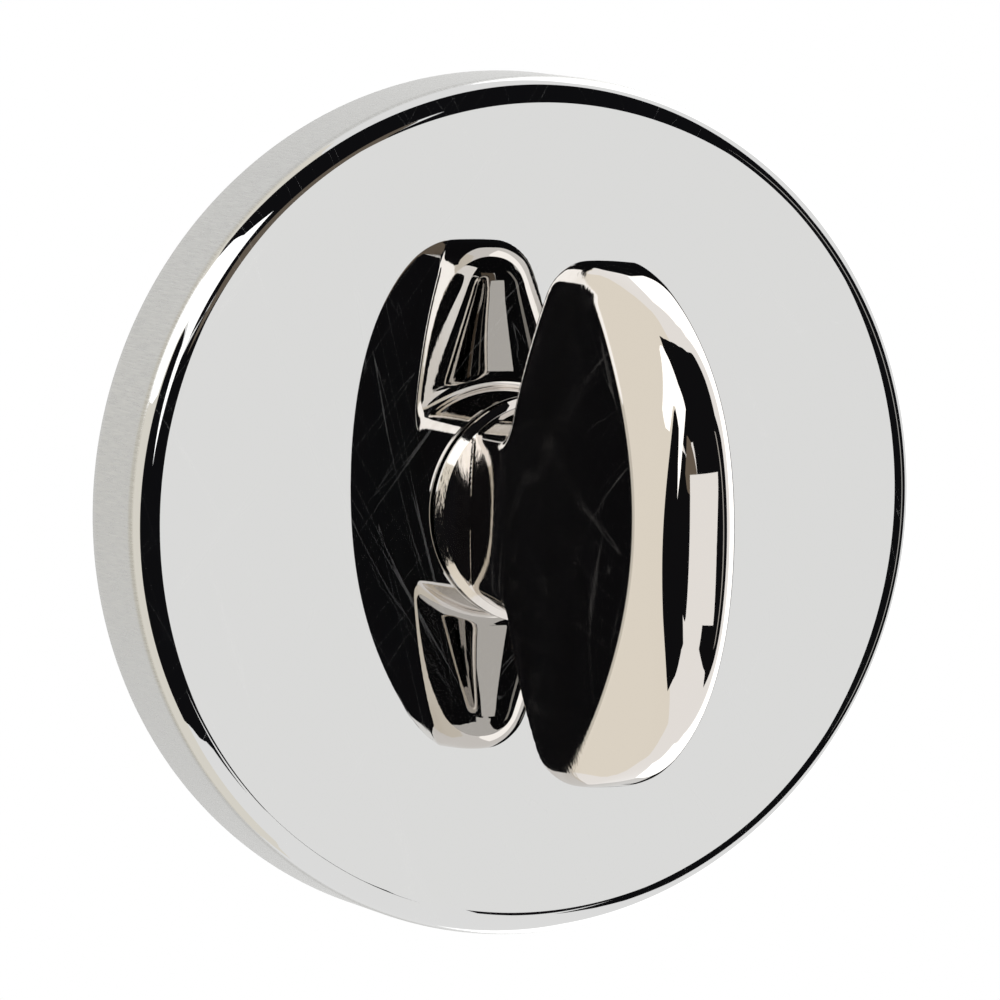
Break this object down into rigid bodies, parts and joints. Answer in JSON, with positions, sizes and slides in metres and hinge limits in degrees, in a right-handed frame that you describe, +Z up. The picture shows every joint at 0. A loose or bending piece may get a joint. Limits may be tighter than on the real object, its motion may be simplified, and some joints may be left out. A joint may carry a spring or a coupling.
{
  "type": "bathroom thumb turn lock",
  "caption": "Oval thumb turn on a flared neck over a round mirror-faced rose, with a square spindle behind; it turns a quarter to work a bathroom door lock.",
  "frame": {"origin": "centre of the rose's back face, which lies on the door, on the axis that the turn rotates about", "axes": "+Y into the door along the spindle, so the front faces -Y; +Z up with the turn upright as in the picture; +X to the right seen from the front"},
  "size_m": [0.052, 0.0743, 0.052],
  "materials": {
    "polished_nickel_rose": "polished nickel plate, mirror face with fine wipe marks, satin side wall",
    "polished_nickel_turn": "polished nickel plate",
    "zinc_casting": "as cast zinc alloy, dull grey",
    "black_rubber": "matt",
    "nylon": "natural nylon, satin",
    "zinc_plated_steel": "bright zinc plate",
    "spring_steel": "phosphated, dark grey"
  },
  "bodies": {
    "rose": {"rose_cover": "polished_nickel_rose", "base_plate": "zinc_casting", "cover_o_ring": "black_rubber", "neck_bush": "nylon"},
    "turn": {"thumb_turn": "polished_nickel_turn", "stop_washer": "zinc_plated_steel", "wave_washer": "spring_steel", "shim_washer": "zinc_plated_steel", "circlip": "spring_steel", "spindle": "zinc_plated_steel", "spindle_pin": "spring_steel"}
  },
  "joints": [
    {"name": "turn_quarter", "type": "hinge", "parent": "rose", "child": "turn", "pos_m": [0, 0, 0], "axis": [0, 1, 0], "range_deg": [0, 90]}
  ]
}
